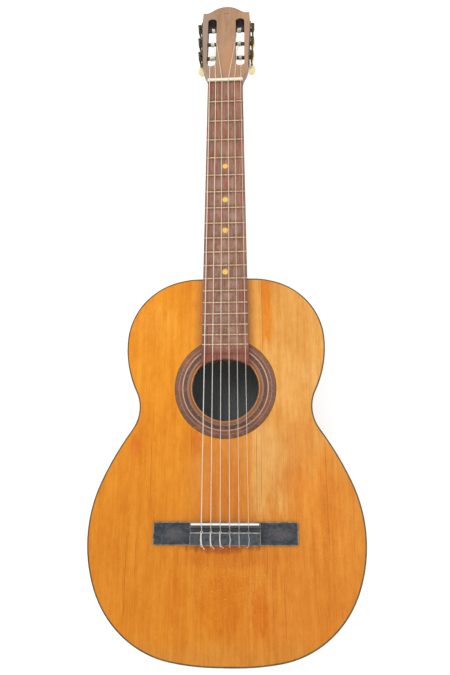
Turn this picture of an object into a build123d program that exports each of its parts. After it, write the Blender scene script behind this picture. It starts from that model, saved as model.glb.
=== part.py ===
"""Classical guitar with a slotted head, lying on its back.

Frame: millimetres, +Z up out of the soundboard, +Y towards the head, +X towards the treble side.
The origin is the centre of the flat back's outer face, which rests on the floor.
"""
import os
from math import cos, radians, sin, tan

from build123d import *

os.makedirs("parts", exist_ok=True)

# Scale and overall layout
SCALE = 650.0
NUT_Y = 568.0
TOP_Z = 96.0
BODY_END = 244.6

# Body outline, from the middle of the shoulder end round to the tail: (radius, turn in degrees)
SHOULDER_FLAT = 37.0
BODY_ARCS = [(108, 22.3), (90.5, 63.7), (143.5, 30.4), (49.6, -61.4),
             (373, 11.7), (169, 44.6), (127.4, 58.4), (315.6, 10.3)]

# Plates, ribs and edges
TOP_THICK = 2.5
BACK_THICK = 2.5
RIB_THICK = 2.2
BINDING_WIDE = 2.0
BINDING_ROUND = 0.6
LINING_WIDE = 6.0
LINING_TALL = 14.0
RIB_LOW = BACK_THICK
RIB_HIGH = TOP_Z - TOP_THICK

# Soundhole and rosette: (inner radius, outer radius) of each inlaid ring
HOLE_Y = NUT_Y - 477.8
HOLE_RADIUS = 44.2
ROSETTE_RINGS = [(44.2, 46.0), (48.4, 49.2), (49.2, 56.4), (56.4, 57.3), (57.3, 66.3), (66.3, 67.9)]
ROSETTE_DEEP = 1.0

# Blocks and braces
NECK_BLOCK = (66.0, 28.0)
TAIL_BLOCK = (70.0, 18.0)
HARMONIC_BAR = (7.0, 14.0)
HARMONIC_BAR_Y = (HOLE_Y + 60, HOLE_Y - 58)
BACK_BRACE = (8.0, 14.0)
BACK_BRACE_Y = (150.0, 10.0, -140.0)
FAN_STRUT = (5.0, 5.0, 190.0)
FAN_STRUTS = [(-88, -9), (-44, -4.5), (0, 0), (44, 4.5), (88, 9)]
FAN_Y = -75.0

# Neck, heel and fretboard
NUT_WIDE = 53.75
WIDTH_AT_12 = 61.5
BOARD_LONG = 449.8
BOARD_THICK = 6.5
BOARD_END_RISE = 9.8
BOARD_EDGE = 0.4
NECK_DEEP = (15.0, 18.0)
NECK_CORNER = (12.5, 16.0)
HEEL_SECTIONS = [(3.0, 12.0, 15.0), (28.0, 14.0, 17.5), (52.0, 18.0, 22.5),
                 (70.0, 23.5, 35.0), (82.0, 27.0, 58.0)]
HEEL_CAP = 3.0
SCARF_SLOPE = 3.4
FRET_COUNT = 18
FRET_CROWN = (2.4, 1.0)
FRET_TANG = (0.6, 1.8)
FRET_SHORT = 0.5
DOT_RADIUS = 4.0
DOT_THICK = 1.2
DOT_FRETS = (5, 7, 9, 12)
NUT_THICK = 5.0
NUT_TALL = 8.9
NUT_FLAT = (0.4, 1.5, 1.0)

# Head, in its own plane: x across, y from the nut to the crown, z out of its face
HEAD_TILT = 13.0
HEAD_RISE = 3.5
HEAD_THICK = 18.5
VENEER = 2.5
CROWN = 188.5
CROWN_ARC = (29, -44)
OGEE_ARC = (57, 14)
SHOULDER_HALF = 38.9
WAIST = (31.0, 21.0)
HEAD_BACK_EDGE = 1.0
HEAD_FACE_EDGE = 0.4
SIDE_HALF = 38.0
SIDE_MIDDLE = 94.4
SIDE_TAPER = 2.0
SIDE_LOW = 45.0
SIDE_HIGH = 147.0
SLOT_X = 23.0
SLOT_WIDE = 14.0
SLOT_ENDS = (34.7, 154.7)
PIN_HOLES = (3.1, 169.5, 0.8)

# Tuning machines
ROLLER_FIRST = 59.2
ROLLER_STEP = 35.2
ROLLER_DEEP = 5.5
ROLLER_RADIUS = 2.9
ROLLER_INSIDE = 28.0
RUNNING_GAP = 0.07
PLATE = (108.0, 16.0, 1.2)
PLATE_DROP = 2.5
GEAR_TEETH = 14
WORM_PITCH = 3.0
GEAR_X = 4.6
GEAR_THICK = 2.4
GEAR_ROOT = 5.8
GEAR_TIP = 7.4
GEAR_TOOTH = (1.5, 0.8)
GEAR_BORE = 2.0
WORM_OFFSET = 9.1
WORM_CORE = 1.4
WORM_CREST = 3.0
WORM_LONG = 7.4
WORM_THREAD = (1.5, 0.7)
SUNK = 0.3
EAR_Z = 5.5
EAR_THICK = 1.2
EAR_OUT = 7.6
EAR_WIDE = 5.8
COLLAR = (2.4, 2.0)
COLLAR_GAP = 0.3
SHAFT_TOP = 6.0
SHAFT_END = -31.0
BUTTON_Z = (-21.0, -38.0)
BUTTON_WIDE = 12.5
BUTTON_THICK = 7.0
BUTTON_EDGE = 2.8
BUTTON_NECK = (2.7, 3.5, 2.5)
BUTTON_TURNS = [80, 24, -16, 9, -13, -74]
GEAR_SCREW = (3.0, 1.1)
SCREW_SLOT = (0.7, 0.5)
SCREW_D = (49.4, 80.6, 115.8, 148.4)
SCREW_HEAD = (2.5, 0.9)
SCREW_SHANK = (1.2, 5.0)
SCREW_TURN = 2.9

# Bridge
BRIDGE_LONG = 181.2
BRIDGE_FRONT = NUT_Y - 647.8
BRIDGE_BACK = NUT_Y - 675.8
WING_TALL = 3.6
WING_CORNER = 2.5
WING_EDGE = 1.2
CENTRE_LONG = 87.6
CENTRE_TALL = 9.0
CENTRE_EDGE = 1.5
CENTRE_END = 0.8
RIDGE_SLOPE = 2.0
RIDGE_EDGE = 1.0
VALLEY_TALL = 4.0
RIDGE_BACK = NUT_Y - 654.5
TIE_FRONT = NUT_Y - 660.0
TIE_HOLE_Z = 5.6
TIE_HOLE_RADIUS = 1.0
STRIP = (1.4, 1.2)
STRIP_LONG = CENTRE_LONG - 2 * CENTRE_END
SADDLE_Y = NUT_Y - 650.5
SADDLE = (84.0, 2.4, 12.9)
SADDLE_DEEP = 5.5

# Strings, bass to treble
STRING_NAMES = ["low_e", "a", "d", "g", "b", "high_e"]
STRING_THICK = [1.10, 0.90, 0.76, 1.02, 0.82, 0.72]
STRING_HIGH = 8.4
NUT_STEP = 9.6
BRIDGE_STEP = 11.6
SADDLE_BEND = 0.42
STRING_GAP = 0.08
STRING_ROOM = 0.05
WRAP_X = [25.0, 19.6, 19.2, 19.2, 19.6, 25.0]
WRAP_TURNS = 5
WRAP_GAP = 3.4

TOP = Plane.XY.offset(TOP_Z)
HEAD = Plane(
    origin=(0, NUT_Y + NUT_THICK, TOP_Z + HEAD_RISE),
    x_dir=(1, 0, 0),
    z_dir=(0, sin(radians(HEAD_TILT)), cos(radians(HEAD_TILT))),
)
NECK_END = Plane(origin=HEAD.origin, x_dir=(1, 0, 0), z_dir=-HEAD.y_dir)
NECK_TOP_ON_END = HEAD_RISE / cos(radians(HEAD_TILT))


def save(name, part):
    """Label one finished piece and write it."""
    part.label = name
    export_step(part, f"parts/{name}.step")


def fret_y(number):
    """Where a fret crosses the neck's centre line."""
    return NUT_Y - SCALE * (1 - 2 ** (-number / 12))


def board_width(y):
    """The fretboard's width at a place along it."""
    taper = (WIDTH_AT_12 - NUT_WIDE) / (SCALE / 2)
    return NUT_WIDE + taper * (NUT_Y - y)


def body_plan(inset=0.0):
    """The body's plan, set in from its edge."""
    with BuildSketch() as plan:
        with BuildLine() as edge:
            Line((0, BODY_END), (SHOULDER_FLAT, BODY_END))
            for radius, turn in BODY_ARCS:
                last = edge.edges()[-1]
                JernArc(last @ 1, last % 1, radius, -turn)
            last = edge.edges()[-1]
            Line(last @ 1, (0, (last @ 1).Y))
            mirror(about=Plane.YZ)
        make_face()
        if inset:
            offset(amount=-inset)
    return plan.sketch


def body_ring(outer, inner, low, high):
    """A wall that follows the body's outline, between two insets."""
    with BuildPart() as ring:
        with BuildSketch(Plane.XY.offset(low)):
            add(body_plan(outer))
            add(body_plan(inner), mode=Mode.SUBTRACT)
        extrude(amount=high - low)
    return ring.part


def body_inside(inset, low, high):
    """The space inside the body, as a solid to trim braces and blocks to."""
    with BuildPart() as space:
        with BuildSketch(Plane.XY.offset(low)):
            add(body_plan(inset))
        extrude(amount=high - low)
    return space.part


def round_disc(radius, low, high, inner=0.0):
    """A disc or ring about the soundhole's axis."""
    with BuildPart() as disc:
        with BuildSketch(Plane.XY.offset(low)):
            with Locations((0, HOLE_Y)):
                Circle(radius)
                if inner:
                    Circle(inner, mode=Mode.SUBTRACT)
        extrude(amount=high - low)
    return disc.part


# Soundboard with its inlaid rosette
with BuildPart() as soundboard:
    with BuildSketch(Plane.XY.offset(RIB_HIGH)):
        add(body_plan(BINDING_WIDE))
    extrude(amount=TOP_THICK)
    add(round_disc(HOLE_RADIUS, RIB_HIGH, TOP_Z), mode=Mode.SUBTRACT)
    for inner, outer in ROSETTE_RINGS:
        add(round_disc(outer, TOP_Z - ROSETTE_DEEP, TOP_Z, inner), mode=Mode.SUBTRACT)
save("soundboard", soundboard.part)

rosette = [round_disc(outer, TOP_Z - ROSETTE_DEEP, TOP_Z, inner) for inner, outer in ROSETTE_RINGS]
save("rosette", Compound(children=rosette))

# Back, ribs and bindings
with BuildPart() as back:
    with BuildSketch():
        add(body_plan(BINDING_WIDE))
    extrude(amount=BACK_THICK)
save("back", back.part)

for name, keep in (("rib_bass", Keep.BOTTOM), ("rib_treble", Keep.TOP)):
    with BuildPart() as rib:
        add(body_ring(0, RIB_THICK, RIB_LOW, RIB_HIGH))
        split(bisect_by=Plane.YZ, keep=keep)
    save(name, rib.part)

for name, low, high, outer_face in (("top_binding", RIB_HIGH, TOP_Z, -1), ("back_binding", 0, BACK_THICK, 0)):
    with BuildPart() as strip:
        add(body_ring(0, BINDING_WIDE, low, high))
        fillet(strip.faces().sort_by(Axis.Z)[outer_face].outer_wire().edges(), BINDING_ROUND)
    save(name, strip.part)

# Blocks inside the two ends of the body
NECK_BLOCK_Y = BODY_END - RIB_THICK - NECK_BLOCK[1] / 2
with BuildPart() as neck_block:
    with Locations((0, NECK_BLOCK_Y, RIB_LOW)):
        Box(*NECK_BLOCK, RIB_HIGH - RIB_LOW, align=(Align.CENTER, Align.CENTER, Align.MIN))
save("neck_block", neck_block.part)

TAIL_Y = body_plan().bounding_box().min.Y
with BuildPart() as tail_block:
    with Locations((0, TAIL_Y, RIB_LOW)):
        Box(TAIL_BLOCK[0], 2 * TAIL_BLOCK[1], RIB_HIGH - RIB_LOW,
            align=(Align.CENTER, Align.CENTER, Align.MIN))
    add(body_inside(RIB_THICK, RIB_LOW, RIB_HIGH), mode=Mode.INTERSECT)
save("tail_block", tail_block.part)

# Linings, which stop at the two blocks
LINING_LEVELS = {
    "top_linings": (RIB_HIGH - LINING_TALL, RIB_HIGH),
    "back_linings": (RIB_LOW, RIB_LOW + LINING_TALL),
}
for name, (low, high) in LINING_LEVELS.items():
    with BuildPart() as linings:
        add(body_ring(RIB_THICK, RIB_THICK + LINING_WIDE, low, high))
        add(neck_block.part, mode=Mode.SUBTRACT)
        add(tail_block.part, mode=Mode.SUBTRACT)
    save(name, linings.part)

# Braces under the soundboard and on the back
with BuildPart() as harmonic_bars:
    for y in HARMONIC_BAR_Y:
        with BuildSketch(Plane.XY.offset(RIB_HIGH - HARMONIC_BAR[1])):
            with Locations((0, y)):
                Rectangle(2 * BODY_END, HARMONIC_BAR[0])
        extrude(amount=HARMONIC_BAR[1])
    add(body_inside(RIB_THICK + LINING_WIDE, RIB_LOW, RIB_HIGH), mode=Mode.INTERSECT)
save("harmonic_bars", harmonic_bars.part)

with BuildPart() as fan_struts:
    with BuildSketch(Plane.XY.offset(RIB_HIGH - FAN_STRUT[1])):
        for x, turn in FAN_STRUTS:
            with Locations(Location((x, FAN_Y), turn)):
                Rectangle(FAN_STRUT[0], FAN_STRUT[2])
    extrude(amount=FAN_STRUT[1])
save("fan_struts", fan_struts.part)

with BuildPart() as back_braces:
    for y in BACK_BRACE_Y:
        with BuildSketch(Plane.XY.offset(BACK_THICK)):
            with Locations((0, y)):
                Rectangle(2 * BODY_END, BACK_BRACE[0])
        extrude(amount=BACK_BRACE[1])
    add(body_inside(RIB_THICK + LINING_WIDE, RIB_LOW, RIB_HIGH), mode=Mode.INTERSECT)
save("back_braces", back_braces.part)


def neck_section(plane, width, deep, corner, drop=0.0):
    """A flat-topped neck section with two rounded lower corners."""
    with BuildSketch(plane) as section:
        with Locations((0, -drop)):
            Rectangle(width, deep, align=(Align.CENTER, Align.MAX))
        fillet(section.vertices().group_by(Axis.Y)[0], corner)
    return section.sketch


def neck_blank():
    """The neck's shaft from the body to the plane behind the nut."""
    body_end = Plane(origin=(0, BODY_END, TOP_Z), x_dir=(1, 0, 0), z_dir=(0, -1, 0))
    with BuildPart() as blank:
        add(neck_section(body_end, board_width(BODY_END), NECK_DEEP[1], NECK_CORNER[1]))
        add(neck_section(NECK_END, NUT_WIDE, NECK_DEEP[0], NECK_CORNER[0], NECK_TOP_ON_END))
        loft()
    return blank.part


SCARF = Plane(
    origin=(0, NUT_Y + NUT_THICK - HEAD_RISE * tan(radians(HEAD_TILT)), TOP_Z),
    x_dir=(1, 0, 0),
    z_dir=(0, -1, SCARF_SLOPE),
)

# Neck and heel, one piece of wood as far as the scarf
with BuildPart() as neck:
    add(neck_blank())
    split(bisect_by=SCARF, keep=Keep.TOP)
    for z, half, out in HEEL_SECTIONS:
        with BuildSketch(Plane.XY.offset(z)):
            with Locations((0, BODY_END)):
                Ellipse(half, out)
                Rectangle(2 * half, 2 * out, align=(Align.CENTER, Align.MAX), mode=Mode.SUBTRACT)
    loft()
save("neck", neck.part)

with BuildPart() as heel_cap:
    with BuildSketch():
        with Locations((0, BODY_END)):
            Ellipse(HEEL_SECTIONS[0][1], HEEL_SECTIONS[0][2])
            Rectangle(4 * HEEL_SECTIONS[0][1], 2 * HEEL_SECTIONS[0][2],
                      align=(Align.CENTER, Align.MAX), mode=Mode.SUBTRACT)
    extrude(amount=HEEL_CAP)
save("heel_cap", heel_cap.part)


def side_half(d):
    """Half the head's width at a distance from the nut, along the straight part of its side."""
    return SIDE_HALF + (d - SIDE_MIDDLE) * tan(radians(SIDE_TAPER))


def tuner_plane(side, d):
    """Where a roller leaves the head's side: x outwards, z along the head's own z."""
    lean = radians(SIDE_TAPER)
    origin = HEAD.from_local_coords((side * side_half(d), d, -ROLLER_DEEP))
    out = HEAD.x_dir * (side * cos(lean)) - HEAD.y_dir * sin(lean)
    return Plane(origin=origin, x_dir=out, z_dir=HEAD.z_dir)


def axle_plane(tuner, x=0.0):
    """A plane square to the roller, with the crown or the nut side along its x."""
    return Plane(origin=tuner.from_local_coords((x, 0, 0)), x_dir=tuner.y_dir, z_dir=tuner.x_dir)


ROLLERS_D = [ROLLER_FIRST + i * ROLLER_STEP for i in range(3)]
TUNERS = [(-1, d) for d in ROLLERS_D] + [(1, d) for d in reversed(ROLLERS_D)]


def head_plan():
    """The head's outline, from the crown's middle down one side to the nut, mirrored."""
    with BuildSketch() as plan:
        with BuildLine() as edge:
            crown = JernArc((0, CROWN), (1, 0), *CROWN_ARC)
            ogee = JernArc(crown @ 1, crown % 1, *OGEE_ARC)
            Line(ogee @ 1, (SHOULDER_HALF, (ogee @ 1).Y))
            Line((SHOULDER_HALF, (ogee @ 1).Y), (side_half(SIDE_HIGH), SIDE_HIGH))
            Line((side_half(SIDE_HIGH), SIDE_HIGH), (side_half(SIDE_LOW), SIDE_LOW))
            TangentArc((side_half(SIDE_LOW), SIDE_LOW), WAIST,
                       tangent=(-sin(radians(SIDE_TAPER)), -cos(radians(SIDE_TAPER))))
            last = edge.edges()[-1]
            TangentArc(last @ 1, (NUT_WIDE / 2, 0), tangent=last % 1)
            Line((NUT_WIDE / 2, 0), (0, 0))
            mirror(about=Plane.YZ)
        make_face()
    return plan.sketch


def slot_plan():
    """The two long slots in the head."""
    with BuildSketch() as plan:
        with Locations((-SLOT_X, sum(SLOT_ENDS) / 2), (SLOT_X, sum(SLOT_ENDS) / 2)):
            SlotOverall(SLOT_ENDS[1] - SLOT_ENDS[0], SLOT_WIDE, rotation=90)
    return plan.sketch


# String routes: tie block, saddle, nut and roller
def string_route(number):
    """The points where one string turns, from behind the tie block to its roller."""
    radius = STRING_THICK[number] / 2
    place = number - 2.5
    bridge_x = place * BRIDGE_STEP
    side, d = TUNERS[number]
    tie = Vector(bridge_x, BRIDGE_BACK - 0.8, TOP_Z + TIE_HOLE_Z)
    valley = Vector(bridge_x, TIE_FRONT + 1.2, TOP_Z + TIE_HOLE_Z)
    crown_y = SADDLE_Y - SADDLE_BEND * (SADDLE[1] / 2 + radius)
    saddle = Vector(bridge_x, crown_y, TOP_Z + SADDLE[2] + radius + STRING_GAP)
    nut = Vector(place * NUT_STEP, NUT_Y + 1.5, TOP_Z + STRING_HIGH + radius)
    over_roller = ROLLER_RADIUS + radius - ROLLER_DEEP
    roller = HEAD.from_local_coords((side * WRAP_X[number], d - WRAP_GAP, over_roller))
    return [tie, valley, saddle, nut, roller]


def string_solid(number, extra=0.0):
    """One string as a bent round rod, or the room that it needs."""
    points = string_route(number)
    with BuildPart() as string:
        with BuildLine() as path:
            Polyline(*points)
        with BuildSketch(Plane(origin=points[0], z_dir=path.line % 0)):
            Circle(STRING_THICK[number] / 2 + extra)
        sweep(transition=Transition.RIGHT)
    return string.part


# Screws that hold the tuner plates to the head's sides
with BuildPart() as plate_screws:
    for side in (-1, 1):
        for d in SCREW_D:
            with BuildSketch(axle_plane(tuner_plane(side, d), PLATE[2])):
                with Locations((0, -PLATE_DROP)):
                    Circle(SCREW_HEAD[0])
            extrude(amount=SCREW_HEAD[1])
            with BuildSketch(axle_plane(tuner_plane(side, d), PLATE[2] + SCREW_HEAD[1] - SCREW_SLOT[1])):
                with Locations(Location((0, -PLATE_DROP), SCREW_TURN * d)):
                    Rectangle(2 * SCREW_HEAD[0], SCREW_SLOT[0])
            extrude(amount=SCREW_SLOT[1], mode=Mode.SUBTRACT)
            with BuildSketch(axle_plane(tuner_plane(side, d), -SCREW_SHANK[1])):
                with Locations((0, -PLATE_DROP)):
                    Circle(SCREW_SHANK[0])
            extrude(amount=SCREW_SHANK[1] + PLATE[2])
save("plate_screws", plate_screws.part)

string_room = Compound(children=[string_solid(number, STRING_ROOM) for number in range(6)])

# Headstock with its slots and roller holes, and the veneer on its face
with BuildPart() as roller_holes:
    for side, d in TUNERS:
        with BuildSketch(axle_plane(tuner_plane(side, d), -ROLLER_INSIDE - RUNNING_GAP)):
            Circle(ROLLER_RADIUS + RUNNING_GAP)
        extrude(amount=ROLLER_INSIDE + 3)

with BuildPart() as scarf_wedge:
    add(neck_blank())
    split(bisect_by=SCARF, keep=Keep.BOTTOM)

with BuildPart() as headstock:
    with BuildSketch(HEAD.offset(-HEAD_THICK)):
        add(head_plan())
    extrude(amount=HEAD_THICK - VENEER)
    back_edges = headstock.faces().sort_by(Axis(HEAD.origin, HEAD.z_dir))[0].edges()
    chamfer([edge for edge in back_edges if HEAD.to_local_coords(edge.center()).Y > 1], HEAD_BACK_EDGE)
    with BuildSketch(HEAD.offset(-HEAD_THICK)):
        add(slot_plan())
    extrude(amount=HEAD_THICK, mode=Mode.SUBTRACT)
    add(roller_holes.part, mode=Mode.SUBTRACT)
    add(scarf_wedge.part)
    add(string_room, mode=Mode.SUBTRACT)
    add(plate_screws.part, mode=Mode.SUBTRACT)
save("headstock", headstock.part)

with BuildPart() as head_veneer:
    with BuildSketch(HEAD.offset(-VENEER)):
        add(head_plan())
        add(slot_plan(), mode=Mode.SUBTRACT)
        with Locations((-PIN_HOLES[0], PIN_HOLES[1]), (PIN_HOLES[0], PIN_HOLES[1])):
            Circle(PIN_HOLES[2], mode=Mode.SUBTRACT)
    extrude(amount=VENEER)
    face_edges = head_veneer.faces().sort_by(Axis(HEAD.origin, HEAD.z_dir))[-1].edges()
    chamfer([edge for edge in face_edges if HEAD.to_local_coords(edge.center()).Y > 1], HEAD_FACE_EDGE)
    add(roller_holes.part, mode=Mode.SUBTRACT)
    add(string_room, mode=Mode.SUBTRACT)
save("head_veneer", head_veneer.part)

# Fretboard, frets and dots
with BuildPart() as frets:
    for number in range(1, FRET_COUNT + 1):
        half = board_width(fret_y(number)) / 2 - FRET_SHORT
        fret_end = (-half, fret_y(number), TOP_Z + BOARD_THICK)
        with BuildSketch(Plane(origin=fret_end, x_dir=(0, 1, 0), z_dir=(1, 0, 0))):
            with Locations((0, -FRET_TANG[1])):
                Rectangle(FRET_TANG[0], FRET_TANG[1], align=(Align.CENTER, Align.MIN))
            with BuildLine():
                ThreePointArc((-FRET_CROWN[0] / 2, 0), (0, FRET_CROWN[1]), (FRET_CROWN[0] / 2, 0))
                Line((FRET_CROWN[0] / 2, 0), (-FRET_CROWN[0] / 2, 0))
            make_face()
        extrude(amount=2 * half)

with BuildPart() as position_dots:
    with BuildSketch(Plane.XY.offset(TOP_Z + BOARD_THICK - DOT_THICK)):
        for number in DOT_FRETS:
            with Locations((0, (fret_y(number) + fret_y(number - 1)) / 2)):
                Circle(DOT_RADIUS)
    extrude(amount=DOT_THICK)

BOARD_END_Y = NUT_Y - BOARD_LONG
with BuildPart() as fretboard:
    with BuildSketch(TOP):
        with BuildLine():
            end_half = board_width(BOARD_END_Y) / 2
            corners = [(-end_half, BOARD_END_Y), (end_half, BOARD_END_Y)]
            Polyline(corners[0], (-NUT_WIDE / 2, NUT_Y), (NUT_WIDE / 2, NUT_Y), corners[1])
            ThreePointArc(corners[0], (0, BOARD_END_Y + BOARD_END_RISE), corners[1])
        make_face()
    extrude(amount=BOARD_THICK)
    board_edges = fretboard.faces().sort_by(Axis.Z)[-1].edges()
    chamfer([edge for edge in board_edges if edge.center().Y < NUT_Y - 1], BOARD_EDGE)
    add(frets.part, mode=Mode.SUBTRACT)
    add(position_dots.part, mode=Mode.SUBTRACT)
save("frets", frets.part)
save("position_dots", position_dots.part)
save("fretboard", fretboard.part)

# Nut, with a notch for each string
with BuildPart() as nut:
    with BuildSketch(Plane(origin=(-NUT_WIDE / 2, NUT_Y, TOP_Z), x_dir=(0, 1, 0), z_dir=(1, 0, 0))):
        with BuildLine():
            foot = NUT_THICK - HEAD_RISE * tan(radians(HEAD_TILT))
            bevel, flat, fall = NUT_FLAT
            Polyline(
                (0, 0), (0, NUT_TALL - bevel), (bevel, NUT_TALL), (flat, NUT_TALL),
                (NUT_THICK, NUT_TALL - fall), (NUT_THICK, HEAD_RISE), (foot, 0), (0, 0),
            )
        make_face()
    extrude(amount=NUT_WIDE)
    add(string_room, mode=Mode.SUBTRACT)
save("nut", nut.part)

# Bridge: flat wings, a raised middle with the saddle's ridge, a valley and the tie block
with BuildPart() as bridge_centre:
    with BuildSketch(Plane(origin=(-CENTRE_LONG / 2, 0, TOP_Z), x_dir=(0, 1, 0), z_dir=(1, 0, 0))):
        with BuildLine():
            Polyline(
                (BRIDGE_BACK, 0), (BRIDGE_BACK, CENTRE_TALL - CENTRE_EDGE),
                (BRIDGE_BACK + CENTRE_EDGE, CENTRE_TALL), (TIE_FRONT, CENTRE_TALL),
                (TIE_FRONT, VALLEY_TALL), (RIDGE_BACK - RIDGE_SLOPE, VALLEY_TALL),
                (RIDGE_BACK, CENTRE_TALL), (BRIDGE_FRONT - RIDGE_EDGE, CENTRE_TALL),
                (BRIDGE_FRONT, CENTRE_TALL - CENTRE_EDGE), (BRIDGE_FRONT, 0), (BRIDGE_BACK, 0),
            )
        make_face()
    extrude(amount=CENTRE_LONG)
    end_edges = bridge_centre.faces().filter_by(Axis.X).edges().group_by(Axis.Z)[-1]
    chamfer(end_edges, CENTRE_END)

with BuildPart() as bridge:
    with BuildSketch(TOP):
        with Locations((0, (BRIDGE_FRONT + BRIDGE_BACK) / 2)):
            RectangleRounded(BRIDGE_LONG, BRIDGE_FRONT - BRIDGE_BACK, WING_CORNER)
    extrude(amount=WING_TALL)
    chamfer(bridge.faces().sort_by(Axis.Z)[-1].edges(), WING_EDGE)
    add(bridge_centre.part)
    with Locations((0, SADDLE_Y, TOP_Z + CENTRE_TALL)):
        Box(SADDLE[0], SADDLE[1], 2 * SADDLE_DEEP, mode=Mode.SUBTRACT)
    with Locations((0, TIE_FRONT, TOP_Z + CENTRE_TALL)):
        Box(STRIP_LONG, 2 * STRIP[0], 2 * STRIP[1], mode=Mode.SUBTRACT)
    with BuildSketch(Plane(origin=(0, BRIDGE_BACK - 1, TOP_Z), x_dir=(-1, 0, 0), z_dir=(0, 1, 0))):
        with Locations(*[((number - 2.5) * BRIDGE_STEP, TIE_HOLE_Z) for number in range(6)]):
            Circle(TIE_HOLE_RADIUS)
    extrude(amount=TIE_FRONT - BRIDGE_BACK + 1.5, mode=Mode.SUBTRACT)
save("bridge", bridge.part)

with BuildPart() as saddle:
    with Locations((0, SADDLE_Y, TOP_Z + CENTRE_TALL - SADDLE_DEEP)):
        Box(*SADDLE[:2], SADDLE[2] - CENTRE_TALL + SADDLE_DEEP,
            align=(Align.CENTER, Align.CENTER, Align.MIN))
    top_edges = saddle.faces().sort_by(Axis.Z)[-1].edges().filter_by(Axis.X)
    fillet(top_edges, SADDLE[1] / 2 - 0.05)
save("saddle", saddle.part)

with BuildPart() as tie_block_strip:
    with Locations((0, TIE_FRONT - STRIP[0] / 2, TOP_Z + CENTRE_TALL - STRIP[1])):
        Box(STRIP_LONG, STRIP[0], STRIP[1], align=(Align.CENTER, Align.CENTER, Align.MIN))
save("tie_block_strip", tie_block_strip.part)

save("bass_strings", Compound(children=[string_solid(number) for number in range(3)]))
save("treble_strings", Compound(children=[string_solid(number) for number in range(3, 6)]))


# Tuning machines: on each side a plate with two ears for each worm
def worm_axis(tuner, side):
    """The worm's plane: its centre, x towards the gear, z out of the head's face."""
    origin = tuner.from_local_coords((GEAR_X, side * WORM_OFFSET, 0))
    return Plane(origin=origin, x_dir=-side * tuner.y_dir, z_dir=tuner.z_dir)


for name, side in (("tuner_plate_bass", -1), ("tuner_plate_treble", 1)):
    middle = tuner_plane(side, ROLLERS_D[1] + WORM_OFFSET / 2)
    with BuildPart() as plate:
        with BuildSketch(axle_plane(middle)):
            with Locations((0, -PLATE_DROP)):
                SlotOverall(PLATE[0], PLATE[1])
        extrude(amount=PLATE[2])
        for d in ROLLERS_D:
            tuner = tuner_plane(side, d)
            for z in (EAR_Z - EAR_THICK, -EAR_Z):
                with BuildSketch(tuner.offset(z)):
                    with Locations((PLATE[2] / 2, side * WORM_OFFSET)):
                        Rectangle(EAR_OUT - EAR_WIDE / 2, EAR_WIDE, align=(Align.MIN, Align.CENTER))
                    with Locations((EAR_OUT - EAR_WIDE / 2, side * WORM_OFFSET)):
                        Circle(EAR_WIDE / 2)
                    with Locations((GEAR_X, side * WORM_OFFSET)):
                        Circle(WORM_CORE + RUNNING_GAP, mode=Mode.SUBTRACT)
                extrude(amount=EAR_THICK)
            with BuildSketch(axle_plane(tuner, -1)):
                Circle(ROLLER_RADIUS + RUNNING_GAP)
            extrude(amount=PLATE[2] + 2, mode=Mode.SUBTRACT)
        add(plate_screws.part, mode=Mode.SUBTRACT)
    save(name, plate.part)

# One worm with its shaft, about Z, with a single right-hand thread
with BuildPart() as worm_blank:
    with BuildLine() as thread_line:
        Helix(WORM_PITCH, 3 * WORM_PITCH, WORM_CORE, center=(0, 0, -1.5 * WORM_PITCH))
    with BuildSketch(Plane(origin=thread_line.line @ 0, x_dir=(1, 0, 0), z_dir=thread_line.line % 0)):
        with BuildLine():
            root, crest = (width / 2 for width in WORM_THREAD)
            rise = WORM_CREST - WORM_CORE
            Polyline(
                (-SUNK, -root), (0, -root), (rise, -crest), (rise, crest),
                (0, root), (-SUNK, root), (-SUNK, -root),
            )
        make_face()
    sweep(is_frenet=True)
    with BuildSketch(Plane.XY.offset(-WORM_LONG / 2)):
        Circle(2 * WORM_CREST)
    extrude(amount=WORM_LONG, mode=Mode.INTERSECT)
    with BuildSketch(Plane.XY.offset(SHAFT_END)):
        Circle(WORM_CORE)
    extrude(amount=SHAFT_TOP - SHAFT_END)
    with BuildSketch(Plane.XY.offset(-EAR_Z - COLLAR_GAP - COLLAR[1])):
        Circle(COLLAR[0])
    extrude(amount=COLLAR[1])

# One button about Z, flat and oval, with a hole for the shaft
with BuildPart() as button_blank:
    with BuildSketch(Plane.XZ.offset(-BUTTON_THICK / 2)):
        with Locations((0, sum(BUTTON_Z) / 2)):
            Ellipse(BUTTON_WIDE / 2, (BUTTON_Z[0] - BUTTON_Z[1]) / 2)
    extrude(amount=BUTTON_THICK)
    fillet(button_blank.edges(), BUTTON_EDGE)
    with BuildSketch(Plane.XY.offset(BUTTON_Z[0] - BUTTON_NECK[2])):
        Circle(BUTTON_NECK[0])
    extrude(amount=BUTTON_NECK[1])
    with BuildSketch(Plane.XY.offset(SHAFT_END)):
        Circle(WORM_CORE)
    extrude(amount=-SHAFT_END, mode=Mode.SUBTRACT)

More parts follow.
